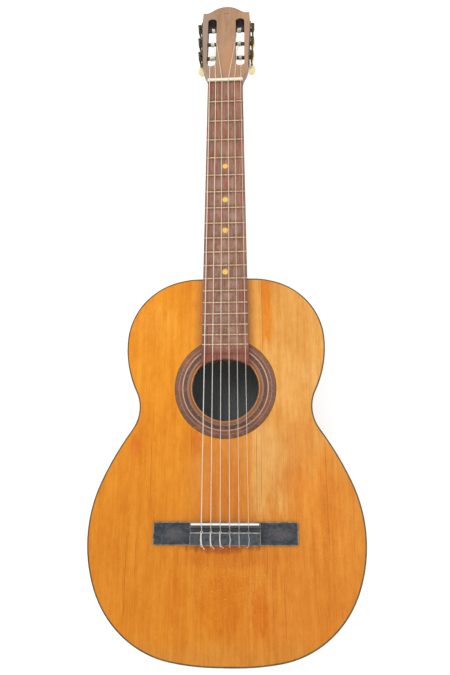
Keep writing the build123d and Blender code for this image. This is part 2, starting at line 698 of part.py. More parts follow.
for number, name in enumerate(STRING_NAMES):
    side, d = TUNERS[number]
    tuner = tuner_plane(side, d)
    thick = STRING_THICK[number]

    with BuildPart() as roller:
        with BuildSketch(axle_plane(tuner, -ROLLER_INSIDE)):
            Circle(ROLLER_RADIUS)
        extrude(amount=ROLLER_INSIDE + GEAR_X - GEAR_THICK / 2)
        with BuildSketch(axle_plane(tuner, GEAR_X - GEAR_THICK / 2)):
            Circle(GEAR_BORE)
        extrude(amount=GEAR_THICK)
    save(f"roller_{name}", roller.part)

    with BuildPart() as gear:
        with BuildSketch(axle_plane(tuner, GEAR_X - GEAR_THICK / 2)):
            Circle(GEAR_ROOT)
            with PolarLocations(0, GEAR_TEETH):
                root, tip = (width / 2 for width in GEAR_TOOTH)
                Polygon(
                    (GEAR_ROOT - SUNK, -root), (GEAR_TIP, -tip), (GEAR_TIP, tip), (GEAR_ROOT - SUNK, root),
                    align=None,
                )
            Circle(GEAR_BORE, mode=Mode.SUBTRACT)
        extrude(amount=GEAR_THICK)
    with BuildPart() as gear_screw:
        with BuildSketch(axle_plane(tuner, GEAR_X + GEAR_THICK / 2)):
            Circle(GEAR_SCREW[0])
        extrude(amount=GEAR_SCREW[1])
        with BuildSketch(axle_plane(tuner, GEAR_X + GEAR_THICK / 2 + GEAR_SCREW[1] - SCREW_SLOT[1])):
            Rectangle(2 * GEAR_SCREW[0], SCREW_SLOT[0])
        extrude(amount=SCREW_SLOT[1], mode=Mode.SUBTRACT)
    save(f"gear_{name}", Compound(children=[gear.part, gear_screw.part]))

    outer_string = number in (0, 5)
    wrap_side = -1 if outer_string else 1
    wrap_middle = WRAP_X[number] + wrap_side * (WRAP_TURNS - 1) * thick / 2 - side_half(d)
    with BuildPart() as winding:
        with BuildSketch(axle_plane(tuner, wrap_middle - WRAP_TURNS * thick / 2)):
            Circle(ROLLER_RADIUS + thick)
            Circle(ROLLER_RADIUS, mode=Mode.SUBTRACT)
        extrude(amount=WRAP_TURNS * thick)
    save(f"winding_{name}", winding.part)

    axis = worm_axis(tuner, side)
    save(f"worm_{name}", worm_blank.part.moved(axis.location))
    save(f"button_{name}", button_blank.part.moved(axis.location * Rotation(0, 0, BUTTON_TURNS[number])))
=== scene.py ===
"""Looks of a worn classical guitar with an amber spruce top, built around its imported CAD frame.

Materials work in the row frame: object coordinates, scaled to millimetres.
"""
import math

import bpy
from mathutils import Matrix, Vector


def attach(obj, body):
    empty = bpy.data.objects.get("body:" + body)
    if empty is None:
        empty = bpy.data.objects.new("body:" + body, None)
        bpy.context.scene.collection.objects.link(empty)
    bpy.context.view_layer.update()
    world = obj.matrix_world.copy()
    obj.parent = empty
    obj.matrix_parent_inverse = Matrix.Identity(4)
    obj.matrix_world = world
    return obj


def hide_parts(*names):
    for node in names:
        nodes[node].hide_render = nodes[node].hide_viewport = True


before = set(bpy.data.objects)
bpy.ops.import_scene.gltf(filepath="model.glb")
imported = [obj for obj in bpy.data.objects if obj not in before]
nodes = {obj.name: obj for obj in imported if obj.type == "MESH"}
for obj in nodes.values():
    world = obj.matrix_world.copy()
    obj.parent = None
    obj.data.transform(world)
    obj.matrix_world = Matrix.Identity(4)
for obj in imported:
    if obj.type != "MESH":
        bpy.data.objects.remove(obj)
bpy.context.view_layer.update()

MM = 0.001

# Places on the object that the looks need, in millimetres, as part.py has them
SCALE = 650.0
NUT_Y = 568.0
TOP_Z = 96.0
HOLE_Y = 90.2
HEAD_TILT = math.radians(13.0)
HEAD_ORIGIN = Vector((0, 573.0, 99.5))
SIDE_TAPER = math.radians(2.0)
ROLLER_DEEP = 5.5
ROLLER_RADIUS = 2.9
ROLLER_PLACES = [(-1, 59.2), (-1, 94.4), (-1, 129.6), (1, 129.6), (1, 94.4), (1, 59.2)]
STRING_NAMES = ["low_e", "a", "d", "g", "b", "high_e"]
STRING_THICK = [1.10, 0.90, 0.76, 1.02, 0.82, 0.72]
WRAP_X = [25.0, 19.6, 19.2, 19.2, 19.6, 25.0]
WRAP_TURNS = 5
TURN_STEPS = 24
BRIDGE_STEP = 11.6
NUT_STEP = 9.6
BRIDGE_BACK = -107.8
TIE_FRONT = -92.0
SADDLE_Y = -82.5
HEAD_PINS_Y = 737.8


def rgb(red, green, blue):
    """A colour as a screen shows it, 0 to 255 each, made linear."""
    parts = [channel / 255 for channel in (red, green, blue)]
    return (*[(part + 0.055) ** 2.4 / 1.055 ** 2.4 if part > 0.04 else part / 12.92 for part in parts], 1.0)


class Graph:
    """One material's nodes. Each call adds a node and gives back its output."""

    def __init__(self, name, **values):
        self.material = bpy.data.materials.new(name)
        self.material.use_nodes = True
        self.nodes = self.material.node_tree.nodes
        self.links = self.material.node_tree.links
        self.shader = self.nodes["Principled BSDF"]
        for socket, value in values.items():
            self.shader.inputs[socket.replace("_", " ")].default_value = value
        place = self.nodes.new("ShaderNodeTexCoord").outputs["Object"]
        self.place = self.vector("MULTIPLY", place, (1000, 1000, 1000))
        split = self.nodes.new("ShaderNodeSeparateXYZ")
        self.links.new(self.place, split.inputs[0])
        self.x, self.y, self.z = split.outputs

    def put(self, socket, value):
        if isinstance(value, bpy.types.NodeSocket):
            self.links.new(value, socket)
        else:
            socket.default_value = value

    def vector(self, operation, first, second):
        node = self.nodes.new("ShaderNodeVectorMath")
        node.operation = operation
        self.put(node.inputs[0], first)
        self.put(node.inputs[1], second)
        return node.outputs[0]

    def math(self, operation, first, second=0.0, clamp=False):
        node = self.nodes.new("ShaderNodeMath")
        node.operation = operation
        node.use_clamp = clamp
        self.put(node.inputs[0], first)
        self.put(node.inputs[1], second)
        return node.outputs[0]

    def join(self, x, y, z):
        node = self.nodes.new("ShaderNodeCombineXYZ")
        for socket, value in zip(node.inputs, (x, y, z)):
            self.put(socket, value)
        return node.outputs[0]

    def noise(self, vector, scale=1.0, detail=2.0, rough=0.5, warp=0.0):
        node = self.nodes.new("ShaderNodeTexNoise")
        node.inputs["Scale"].default_value = scale
        node.inputs["Detail"].default_value = detail
        node.inputs["Roughness"].default_value = rough
        node.inputs["Distortion"].default_value = warp
        self.put(node.inputs["Vector"], vector)
        return node.outputs[0]

    def stretched(self, x, y, z, detail=2.0, rough=0.5, warp=0.0):
        """Noise with its own frequency per millimetre along each axis."""
        return self.noise(self.vector("MULTIPLY", self.place, (x, y, z)), 1.0, detail, rough, warp)

    def step(self, value, low, high, start=0.0, end=1.0):
        """start below low, end above high, and a smooth turn between."""
        node = self.nodes.new("ShaderNodeMapRange")
        node.interpolation_type = "SMOOTHSTEP"
        self.put(node.inputs["Value"], value)
        for socket, number in zip(("From Min", "From Max", "To Min", "To Max"), (low, high, start, end)):
            self.put(node.inputs[socket], number)
        return node.outputs[0]

    def mix(self, factor, first, second, blend="MIX"):
        node = self.nodes.new("ShaderNodeMix")
        node.data_type = "RGBA"
        node.blend_type = blend
        self.put(node.inputs[0], factor)
        self.put(node.inputs[6], first)
        self.put(node.inputs[7], second)
        return node.outputs[2]

    def ramp(self, value, *stops):
        node = self.nodes.new("ShaderNodeValToRGB")
        for place, colour in stops[2:]:
            node.color_ramp.elements.new(place)
        for element, (place, colour) in zip(node.color_ramp.elements, stops):
            element.position = place
            element.color = colour
        self.put(node.inputs[0], value)
        return node.outputs[0]

    def fray(self, *layers):
        """Noise about zero, from layers of (x, y and z frequency per millimetre, strength)."""
        total = 0.0
        for *frequency, strength in layers:
            layer = self.math("SUBTRACT", self.stretched(*frequency, detail=4, rough=0.65), 0.5)
            total = self.math("ADD", total, self.math("MULTIPLY", layer, strength))
        return total

    def blob(self, centre, radii, fray, inner=0.1):
        """1 near a centre on the face and 0 beyond the radii, with an edge torn by the fray."""
        away = [
            self.math("MULTIPLY", self.math("SUBTRACT", axis, middle), 1 / radius)
            for axis, middle, radius in zip((self.x, self.y), centre, radii)
        ]
        squares = [self.math("MULTIPLY", share, share) for share in away]
        far = self.math("ADD", *squares)
        return self.step(self.math("ADD", far, fray), inner, 1.0, 1.0, 0.0)

    def strip(self, axis, low, high, soft):
        """1 between low and high along an axis, with soft edges."""
        return self.math(
            "MULTIPLY",
            self.step(axis, low - soft, low + soft),
            self.step(axis, high - soft, high + soft, 1.0, 0.0),
        )

    def scaled(self, mask, strength):
        return self.math("MULTIPLY", mask, strength)

    def drawn_out(self, first, first_share, second, second_share, detail):
        """Noise over two measures, each with its own frequency."""
        place = self.join(self.scaled(first, first_share), self.scaled(second, second_share), 0)
        return self.noise(place, detail=detail, rough=0.6)

    def bump(self, height, distance, strength=1.0):
        """Relief of that depth in millimetres."""
        node = self.nodes.new("ShaderNodeBump")
        node.inputs["Distance"].default_value = distance * MM
        node.inputs["Strength"].default_value = strength
        self.put(node.inputs["Height"], height)
        self.put(self.shader.inputs["Normal"], node.outputs[0])

    def finish(self, colour, rough=None):
        self.put(self.shader.inputs["Base Color"], colour)
        if rough is not None:
            self.put(self.shader.inputs["Roughness"], rough)
        return self.material


def ring_lines(g, across, spacing, low=0.55):
    """Dark late-wood lines: 0 between them, 1 on each."""
    saw = g.math("FRACT", g.math("MULTIPLY", across, 1 / spacing))
    return g.math("MULTIPLY", g.step(saw, low, 0.92), g.step(saw, 0.93, 1.0, 1.0, 0.0))


def from_hole(g):
    """The distance from the soundhole's axis."""
    length = g.nodes.new("ShaderNodeVectorMath")
    length.operation = "LENGTH"
    g.links.new(g.join(g.x, g.math("SUBTRACT", g.y, HOLE_Y), 0), length.inputs[0])
    return length.outputs["Value"]


def spruce_top():
    """Book-matched spruce under worn amber shellac: grain, streaks, flecks, rubbed and stained places, and
    painted light and shade.
    """
    g = Graph("spruce_top", Specular_IOR_Level=0.1)
    wander = g.math("MULTIPLY", g.math("SUBTRACT", g.stretched(0.006, 0.004, 0.0, detail=2), 0.5), 9)
    across = g.math("ADD", g.math("ABSOLUTE", g.x), wander)
    gather = g.math("MULTIPLY", g.noise(g.join(g.math("MULTIPLY", across, 0.05), 0, 0), detail=1), 9)
    across = g.math("ADD", across, gather)
    lines = ring_lines(g, across, 1.7)
    fade = g.step(g.stretched(0.25, 0.008, 0.0, detail=3), 0.35, 0.65, 0.25, 1.0)
    lines = g.math("MULTIPLY", lines, fade)
    fray = g.fray((0.05, 0.011, 0, 2.5), (0.16, 0.03, 0, 1.7), (0.5, 0.12, 0, 1.2))

    # Base tone, partly the shellac's own colour and partly painted light: paler towards the treble side and
    # darker towards the tail
    tone = g.mix(g.step(g.x, -75, 80), rgb(242, 158, 42), rgb(236, 174, 92))
    low_tone = g.mix(g.step(g.x, -75, 75), rgb(224, 143, 44), rgb(225, 144, 54))
    tone = g.mix(g.step(g.y, -150, 150, 1.0, 0.0), tone, low_tone)

    # Rubbed places, where the colour has gone and the grain shows; then deeper and stained ones, and painted
    # shade round the bridge
    pale = g.math("MULTIPLY", g.blob((50, -12), (44, 80), g.scaled(fray, 0.7)),
                  g.step(g.math("ADD", g.x, wander), 31, 35))
    tone = g.mix(g.scaled(pale, 0.9), tone, rgb(239, 188, 116))
    for colour, centre, radii, strength in (
        (rgb(246, 190, 112), (94, 112), (48, 78), 0.40),
        (rgb(240, 186, 122), (118, 96), (20, 30), 0.45),
        (rgb(236, 176, 100), (120, 26), (14, 20), 0.40),
        (rgb(226, 148, 72), (98, 18), (22, 40), 0.50),
        (rgb(221, 144, 66), (-8, -28), (50, 82), 0.75),
        (rgb(206, 108, 50), (-40, 22), (9, 30), 0.45),
        # painted shade just in front of the bridge
        (rgb(212, 138, 80), (-6, -72), (62, 12), 0.18),
        (rgb(226, 120, 50), (-118, 14), (9, 20), 0.50),
        (rgb(222, 128, 50), (86, -30), (26, 26), 0.45),
        (rgb(214, 122, 20), (-4, -176), (40, 46), 0.60),
        (rgb(210, 110, 16), (42, -186), (13, 42), 0.60),
        (rgb(216, 120, 20), (-62, -170), (17, 38), 0.22),
        (rgb(212, 122, 40), (0, -124), (70, 14), 0.55),
        # painted shadow of the tie block, behind the bridge
        (rgb(176, 84, 40), (-4, -110), (54, 9), 0.65),
        (rgb(250, 172, 60), (-98, 176), (42, 40), 0.75),
        (rgb(238, 154, 62), (124, -62), (34, 80), 0.65),
    ):
        tone = g.mix(g.scaled(g.blob(centre, radii, fray), strength), tone, colour)
    tail = g.step(g.math("ADD", g.y, g.scaled(fray, 12)), -236, -206, 0.55, 0.0)
    tone = g.mix(tail, tone, rgb(214, 148, 66))

    # Painted shade along the fretboard's sides, the pale strip next to it and the orange wedge past that
    side = g.math("ABSOLUTE", g.x)
    up_neck = g.step(g.y, 112, 140)
    board_side_shade = g.math("MULTIPLY", g.strip(side, 20, 40, 4), g.scaled(up_neck, 0.55))
    tone = g.mix(board_side_shade, tone, rgb(204, 138, 78))
    strip_start = g.step(g.math("ADD", g.y, g.scaled(fray, 14)), 140, 160)
    strip = g.math("MULTIPLY", g.strip(g.x, 39, 50, 0.8), strip_start)
    tone = g.mix(g.scaled(strip, 0.3), tone, rgb(244, 178, 88))
    wedge_side = g.step(g.math("ADD", g.x, g.scaled(fray, 6)), 56, 72, 1.0, 0.0)
    wedge = g.math("MULTIPLY", g.step(g.x, 50, 51), wedge_side)
    wedge = g.math("MULTIPLY", wedge, g.step(g.math("ADD", g.y, g.scaled(fray, 16)), 138, 158))
    tone = g.mix(g.scaled(wedge, 0.75), tone, rgb(238, 142, 30))
    tone = g.mix(g.strip(from_hole(g), 45.9, 48.6, 0.2), tone, rgb(152, 104, 72))

    # Streaks along the grain, mottled shellac and fine dirt, each darker than the tone beneath
    streak = g.drawn_out(across, 0.16, g.y, 0.006, 4)
    fine = g.drawn_out(across, 0.9, g.y, 0.03, 3)
    for pattern, low, high, strength, colour in (
        (streak, 0.36, 0.68, 0.50, rgb(236, 214, 176)),
        (g.stretched(0.022, 0.010, 0.0, detail=4, rough=0.6), 0.40, 0.66, 0.50, rgb(238, 218, 180)),
        (fine, 0.42, 0.72, 0.32, rgb(230, 208, 172)),
        (g.stretched(0.16, 0.07, 0.0, detail=5, rough=0.7), 0.42, 0.70, 0.36, rgb(230, 210, 176)),
        (g.stretched(0.8, 0.5, 0.0, detail=2), 0.45, 0.75, 0.25, rgb(226, 206, 180)),
    ):
        tone = g.mix(g.step(pattern, low, high, 0.0, strength), tone, colour, "MULTIPLY")
    grain = g.math("MULTIPLY", lines, g.math("ADD", g.scaled(pale, 0.5), 0.3))
    tone = g.mix(grain, tone, rgb(212, 178, 136), "MULTIPLY")
    fleck = g.step(g.stretched(1.1, 0.14, 0.0, detail=1), 0.70, 0.8)
    tone = g.mix(g.scaled(fleck, 0.40), tone, rgb(252, 205, 130))
    dots = g.step(g.stretched(0.7, 0.7, 0.0, detail=0), 0.76, 0.79)
    dotted = g.math("MAXIMUM", g.blob((10, -150), (70, 60), fray), g.blob((120, -110), (30, 40), fray))
    tone = g.mix(g.math("MULTIPLY", dots, g.scaled(dotted, 0.45)), tone, rgb(250, 214, 150))
    cracks = None
    for x, low, high in (
        (-124, -190, -95), (-112, -150, -100), (52, -150, -108), (58, -205, -130), (72, -215, -150),
        (128, -110, 20), (50.4, 140, 240), (-44, 0, 40), (40, -66, 30), (46, -60, 40), (-96, -60, 20),
    ):
        place = g.math("ADD", g.x, g.scaled(wander, 0.3))
        line = g.math("MULTIPLY", g.strip(place, x - 0.3, x + 0.3, 0.25), g.strip(g.y, low, high, 9))
        cracks = line if cracks is None else g.math("MAXIMUM", cracks, line)
    tone = g.mix(g.scaled(cracks, 0.6), tone, rgb(150, 80, 32))

    rough = g.step(g.stretched(0.05, 0.03, 0.0, detail=4), 0.3, 0.7, 0.36, 0.55)
    relief = g.math("ADD", g.scaled(lines, -0.5), g.scaled(g.stretched(0.5, 0.5, 0.5, detail=3), 0.6))
    g.bump(g.math("SUBTRACT", relief, cracks), 0.05)
    return g.finish(tone, rough)


def streaked_wood(name, pale, dark, pores, along, rough=0.45, pore_strength=0.5, sheen=0.3, wavy=0.0,
                  place=None):
    """Hardwood whose grain runs where along is small: broad bands, streaks and short open pores.

    place is a function that gives a mask and a colour for a part of the piece that differs.
    """
    g = Graph(name, Specular_IOR_Level=sheen)
    broad = g.stretched(*[0.10 * share for share in along], detail=3, rough=0.6, warp=wavy)
    streak = g.stretched(*[0.8 * share for share in along], detail=4, rough=0.65)
    both = g.math("ADD", g.scaled(broad, 0.6), g.scaled(streak, 0.4))
    tone = g.mix(g.step(both, 0.36, 0.64), pale, dark)
    pore = g.step(g.stretched(*[3.2 * share for share in along], detail=2), 0.56, 0.70)
    tone = g.mix(g.scaled(pore, pore_strength), tone, pores)
    if place:
        mask, colour = place(g, both)
        tone = g.mix(mask, tone, colour)
    g.bump(g.math("SUBTRACT", g.scaled(g.stretched(0.2, 0.2, 0.2, detail=3), 0.5), pore), 0.05)
    return g.finish(tone, g.step(broad, 0.3, 0.7, rough - 0.06, rough + 0.1))


def dusty_inside(g, grain):
    """The back's bare inner face, grey with old dust."""
    return g.step(g.z, 1.2, 2.0), g.mix(grain, rgb(138, 148, 146), rgb(102, 110, 110))


def head_depth(g):
    """The distance along the head from the nut, and from the middle line of either slot."""
    ahead = g.math("SUBTRACT", g.y, HEAD_ORIGIN.y)
    lift = g.math("SUBTRACT", g.z, HEAD_ORIGIN.z)
    along = g.math("SUBTRACT", g.scaled(ahead, math.cos(HEAD_TILT)), g.scaled(lift, math.sin(HEAD_TILT)))
    past = g.math("MAXIMUM", g.math("SUBTRACT", g.math("ABSOLUTE", g.math("SUBTRACT", along, 94.7)), 53), 0)
    aside = g.math("SUBTRACT", g.math("ABSOLUTE", g.x), 23)
    length = g.nodes.new("ShaderNodeVectorMath")
    length.operation = "LENGTH"
    g.links.new(g.join(aside, past, 0), length.inputs[0])
    return length.outputs["Value"]


def slot_walls_in_painted_shade(g, grain):
    """The walls of the head's slots, painted nearly black as shade."""
    return g.step(head_depth(g), 7.15, 7.4, 1.0, 0.0), g.mix(grain, rgb(38, 36, 38), rgb(52, 46, 44))


def worn_face_and_slot_shade(g, grain):
    """The slots' edges in painted shade, and the face gone greyer towards the bass side and its shoulders."""
    slot, slot_shade_tone = slot_walls_in_painted_shade(g, grain)
    grey = g.step(g.math("ADD", g.x, g.scaled(g.fray((0.08, 0.012, 0.05, 1.0)), 14)), -36, -10, 0.8, 0.0)
    face = g.mix(grain, rgb(170, 146, 132), rgb(150, 124, 110))
    fray = g.fray((0.09, 0.02, 0.05, 2.0), (0.5, 0.2, 0.3, 1.0))
    amber = g.math("MAXIMUM", g.scaled(g.blob((2, 626), (17, 50), fray), 0.65),
                   g.scaled(g.blob((38, 660), (8, 60), fray), 0.4))
    face = g.mix(amber, face, rgb(208, 144, 88))
    pins = g.blob((0, HEAD_PINS_Y), (6.5, 2.0), g.scaled(fray, 0.3))
    pins = g.math("MULTIPLY", pins, g.step(g.math("ABSOLUTE", g.x), 1.0, 2.2))
    face = g.mix(pins, face, rgb(112, 80, 58))
    mask = g.math("MAXIMUM", g.math("MAXIMUM", slot, grey), g.math("MAXIMUM", amber, g.scaled(pins, 0.7)))
    return mask, g.mix(slot, face, slot_shade_tone)


RING_START = 43.0
RING_SPAN = 27.0


def share(radius):
    """A radius as a place on the rosette's colour ramp."""
    return (radius - RING_START) / RING_SPAN


def rosette_rings():
    """Brown inlaid rings between thin pale lines, by distance from the soundhole's centre."""
    g = Graph("rosette_rings", Specular_IOR_Level=0.2)
    out = from_hole(g)
    turn = g.math("ARCTAN2", g.math("SUBTRACT", g.y, HOLE_Y), g.x)
    pale, brown, dark, edge = rgb(218, 172, 142), rgb(138, 100, 84), rgb(106, 82, 74), rgb(140, 94, 58)
    tone = g.ramp(
        g.math("MULTIPLY", g.math("SUBTRACT", out, RING_START), 1 / RING_SPAN),
        (share(44.8), rgb(126, 84, 58)), (share(45.1), rgb(220, 160, 108)), (share(46.2), rgb(214, 154, 100)),
        (share(46.5), rgb(162, 118, 92)), (share(50.2), rgb(164, 120, 94)), (share(50.5), rgb(200, 146, 106)),
        (share(51.0), rgb(150, 102, 76)), (share(51.4), dark), (share(55.9), dark), (share(56.3), pale),
        (share(57.5), pale), (share(57.9), rgb(124, 88, 76)), (share(61.4), brown),
        (share(61.8), rgb(198, 156, 132)),
        (share(62.3), brown), (share(66.0), rgb(134, 98, 80)), (share(66.5), edge),
    )
    rings = g.math("SINE", g.math("MULTIPLY", out, 2 * math.pi / 1.6))
    tone = g.mix(g.step(rings, 0.0, 1.0, 0.0, 0.35), tone, rgb(150, 124, 112), "MULTIPLY")
    cells = g.drawn_out(turn, 26, out, 0.5, 3)
    tone = g.mix(g.step(cells, 0.42, 0.75, 0.0, 0.55), tone, rgb(156, 132, 120), "MULTIPLY")
    tone = g.mix(g.step(g.y, 20, 110, 0.5, 0.0), tone, rgb(176, 164, 156), "MULTIPLY")
    warm = g.step(g.stretched(0.05, 0.05, 0.05, detail=4, rough=0.65), 0.5, 0.75, 0.0, 0.4)
    tone = g.mix(warm, tone, rgb(190, 120, 74))
    worn = g.step(g.stretched(0.35, 0.35, 0.35, detail=4, rough=0.65), 0.55, 0.8, 0.0, 0.4)
    tone = g.mix(worn, tone, rgb(196, 170, 150))
    g.bump(g.math("ADD", rings, cells), 0.02)
    return g.finish(tone, g.step(cells, 0.3, 0.7, 0.38, 0.5))


def fretboard_wood():
    """Red-brown board, paler where fingers have worn it between the frets, dark beside them with dirt and
    painted shade.
    """
    g = Graph("fretboard_wood", Specular_IOR_Level=0.2)
    streak = g.stretched(0.35, 0.012, 0.35, detail=4, rough=0.6)
    tone = g.mix(g.step(streak, 0.32, 0.68), rgb(172, 122, 98), rgb(130, 86, 68))
    left = g.math("MULTIPLY", g.math("ADD", g.y, SCALE - NUT_Y), 1 / SCALE)
    number = g.math("MULTIPLY", g.math("LOGARITHM", left, 2.0), -12)
    within = g.math("PINGPONG", number, 0.5)
    worn = g.math("MULTIPLY", g.step(within, 0.08, 0.32), g.step(g.math("ABSOLUTE", g.x), 12, 27, 1.0, 0.2))
    patchy = g.step(g.stretched(0.07, 0.035, 0.0, detail=4, rough=0.65), 0.36, 0.62, 0.05, 0.9)
    patchy = g.math("MULTIPLY", patchy, g.step(g.y, 330, 460, 1.0, 0.35))
    tone = g.mix(g.math("MULTIPLY", worn, patchy), tone, rgb(184, 150, 132))
    red = g.step(g.stretched(0.11, 0.02, 0.0, detail=3, rough=0.6), 0.50, 0.66, 0.0, 0.6)
    tone = g.mix(g.math("MULTIPLY", red, g.step(g.y, 260, 400)), tone, rgb(160, 78, 62))
    grey = g.step(g.stretched(0.10, 0.03, 0.3, detail=3, rough=0.6), 0.52, 0.68, 0.0, 0.5)
    tone = g.mix(grey, tone, rgb(140, 112, 108))
    # Dark beside each fret: partly dirt, partly painted shade
    tone = g.mix(g.step(within, 0.02, 0.13, 0.75, 0.0), tone, rgb(88, 58, 46))
    tone = g.mix(g.step(g.y, 180, 420, 0.5, 0.0), tone, rgb(222, 206, 196), "MULTIPLY")
    tone = g.mix(g.step(g.y, 138, 146, 0.6, 0.0), tone, rgb(138, 68, 52))
    pore = g.step(g.stretched(2.6, 0.07, 2.6, detail=2), 0.55, 0.68)
    tone = g.mix(g.scaled(pore, 0.55), tone, rgb(78, 46, 36))
    g.bump(g.math("SUBTRACT", 0.5, pore), 0.06)
    return g.finish(tone, g.step(streak, 0.3, 0.7, 0.42, 0.56))


def bridge_wood():
    """Ebonised wood rubbed grey on the wings, its edges pale with wear and painted highlight."""
    g = Graph("bridge_wood", Specular_IOR_Level=0.2)
    streak = g.stretched(0.05, 0.5, 0.4, detail=4, rough=0.6)
    tone = g.mix(g.step(streak, 0.3, 0.7), rgb(44, 51, 57), rgb(60, 64, 68))
    side = g.math("ABSOLUTE", g.x)
    fray = g.fray((0.12, 0.14, 0.1, 2.0), (0.5, 0.5, 0.4, 1.0))
    for x in (-63, 68):
        rubbed = g.blob((x, -94), (19, 10), fray, -0.4)
        tone = g.mix(g.scaled(rubbed, 0.7), tone, rgb(104, 97, 96))
    clouds = g.step(g.stretched(0.16, 0.2, 0.16, detail=5, rough=0.7), 0.45, 0.65, 0.0, 0.6)
    tone = g.mix(clouds, tone, rgb(94, 92, 96))
    valley = g.strip(g.y, TIE_FRONT + 0.6, SADDLE_Y - 1.2, 0.3)
    tone = g.mix(g.math("MULTIPLY", valley, g.step(side, 42, 43, 0.7, 0.0)), tone, rgb(92, 92, 100))
    cloudy = g.step(g.stretched(0.2, 0.2, 0.2, detail=4), 0.3, 0.6)
    block = g.math("MULTIPLY", g.step(g.z, TOP_Z + 8, TOP_Z + 9), cloudy)
    tone = g.mix(g.scaled(block, 0.6), tone, rgb(88, 92, 96))
    # Pale edges round the bridge and at the ends of its middle block: partly wear, partly painted highlight
    broken = g.step(g.stretched(0.16, 0.16, 0.16, detail=4, rough=0.65), 0.35, 0.55, 0.35, 1.0)
    rim_wear_and_highlight = g.math("MAXIMUM", g.step(side, 88.4, 90.0), g.step(g.y, -81.6, -80.4))
    rim_wear_and_highlight = g.math("MAXIMUM", rim_wear_and_highlight, g.step(g.y, BRIDGE_BACK + 0.5, BRIDGE_BACK + 1.6, 1.0, 0.0))
    ends = g.math("MULTIPLY", g.strip(side, 43.0, 44.4, 0.35), g.step(g.z, TOP_Z + 3.4, TOP_Z + 4.2))
    worn = g.math("MULTIPLY", g.math("MAXIMUM", rim_wear_and_highlight, ends), g.scaled(broken, 0.85))
    tone = g.mix(worn, tone, rgb(160, 152, 136))
    pore = g.step(g.stretched(0.8, 3.0, 3.0, detail=2), 0.58, 0.7)
    tone = g.mix(g.scaled(pore, 0.5), tone, rgb(34, 36, 38))
    g.bump(g.stretched(0.3, 2.0, 2.0, detail=3), 0.05)
    return g.finish(tone, g.step(streak, 0.3, 0.7, 0.42, 0.58))


def metal(name, bright, dull, dirt, rough):
    """Old plated metal: brushed, with tarnish gathered in patches."""
    g = Graph(name, Metallic=1.0)
    patch = g.stretched(0.25, 0.25, 0.25, detail=5, rough=0.65)
    tone = g.mix(g.step(patch, 0.35, 0.65), bright, dull)
    tone = g.mix(g.step(g.stretched(0.9, 0.9, 0.9, detail=4, rough=0.7), 0.55, 0.75, 0.0, 0.8), tone, dirt)
    g.bump(g.stretched(1.5, 1.5, 1.5, detail=3), 0.03)
    return g.finish(tone, g.step(patch, 0.3, 0.7, rough, rough + 0.2))


def smooth_stuff(name, light, deep, speck, rough, scale):
    """Bone, celluloid or pearl: cloudy, with a few specks."""
    g = Graph(name)
    cloud = g.stretched(*scale, detail=4, rough=0.6, warp=0.6)
    tone = g.mix(g.step(cloud, 0.35, 0.68), light, deep)
    tone = g.mix(g.step(g.stretched(1.6, 1.6, 1.6, detail=2), 0.66, 0.78, 0.0, 0.6), tone, speck)
    g.bump(g.stretched(0.6, 0.6, 0.6, detail=3), 0.02)
    return g.finish(tone, g.step(cloud, 0.3, 0.7, rough, rough + 0.12))


def nylon_line():
    """Clear nylon, warm over the neck and dim where it is tied."""
    g = Graph("nylon", Transmission_Weight=0.25, IOR=1.5)
    cloud = g.stretched(0.1, 0.02, 0.1, detail=4, rough=0.6, warp=0.6)
    tone = g.mix(g.step(cloud, 0.35, 0.68), rgb(240, 228, 214), rgb(214, 202, 190))
    tone = g.mix(g.step(g.y, 120, 560, 0.0, 0.7), tone, rgb(255, 242, 212))
    tone = g.mix(g.step(g.y, -90, -84, 0.75, 0.0), tone, rgb(160, 166, 168))
    g.bump(g.stretched(0.6, 0.6, 0.6, detail=3), 0.02)
    return g.finish(tone, g.step(cloud, 0.3, 0.7, 0.25, 0.37))


def wound_wire():
    """Silver-plated wire wound round the bass strings, duller in places."""
    g = Graph("wound_wire", Metallic=0.2)
    turns = g.math("SINE", g.math("MULTIPLY", g.y, 2 * math.pi / 0.32))
    cloud = g.step(g.stretched(0.1, 0.02, 0.1, detail=4), 0.35, 0.65)
    tone = g.mix(cloud, rgb(255, 252, 246), rgb(244, 236, 224))
    tone = g.mix(g.step(turns, -1.0, -0.3, 0.25, 0.0), tone, rgb(186, 178, 166))
    tone = g.mix(g.step(g.y, 120, 560, 0.0, 0.7), tone, rgb(255, 242, 212))
    tone = g.mix(g.step(g.y, -70, 100, 0.35, 0.0), tone, rgb(206, 200, 196))
    g.bump(turns, 0.04)
    return g.finish(tone, g.step(g.stretched(0.1, 0.03, 0.1, detail=3), 0.3, 0.7, 0.3, 0.45))


